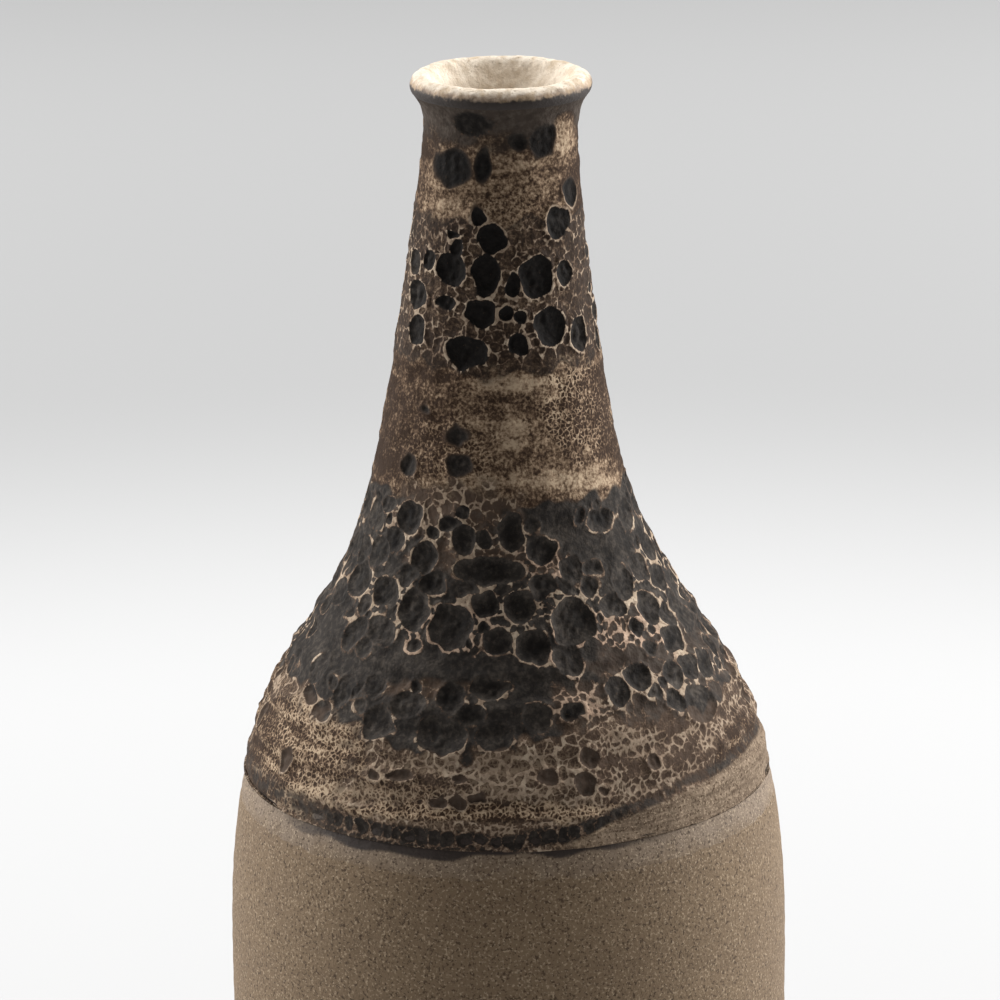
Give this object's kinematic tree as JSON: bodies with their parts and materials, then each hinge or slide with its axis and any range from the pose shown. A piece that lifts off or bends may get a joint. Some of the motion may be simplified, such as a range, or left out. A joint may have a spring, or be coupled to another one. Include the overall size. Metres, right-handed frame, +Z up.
{
  "type": "bottle vase",
  "caption": "Tall stoneware bottle vase with a narrow flared neck, sloping shoulder and straight body, dark crater glaze above bare clay.",
  "frame": {"origin": "middle of the ring that the vase stands on", "axes": "+Z up along the axis that the vase was thrown on; X and Y are level"},
  "size_m": [0.1102, 0.1102, 0.27],
  "materials": {
    "bare_clay": "unglazed speckled stoneware, matt",
    "joining_slip": "fired joining slip, matt",
    "base_glaze": "thin pale matt wash",
    "crater_glaze": "dark satin crater glaze with pale veins",
    "lip_glaze": "cream speckled satin glaze",
    "liner_glaze": "tan satin liner glaze"
  },
  "bodies": {
    "root": {"lower_body": "bare_clay", "shoulder": "bare_clay", "neck": "bare_clay", "body_seam_slip": "joining_slip", "neck_seam_slip": "joining_slip", "base_glaze": "base_glaze", "crater_glaze": "crater_glaze", "lip_glaze": "lip_glaze", "liner_glaze": "liner_glaze"}
  },
  "joints": []
}
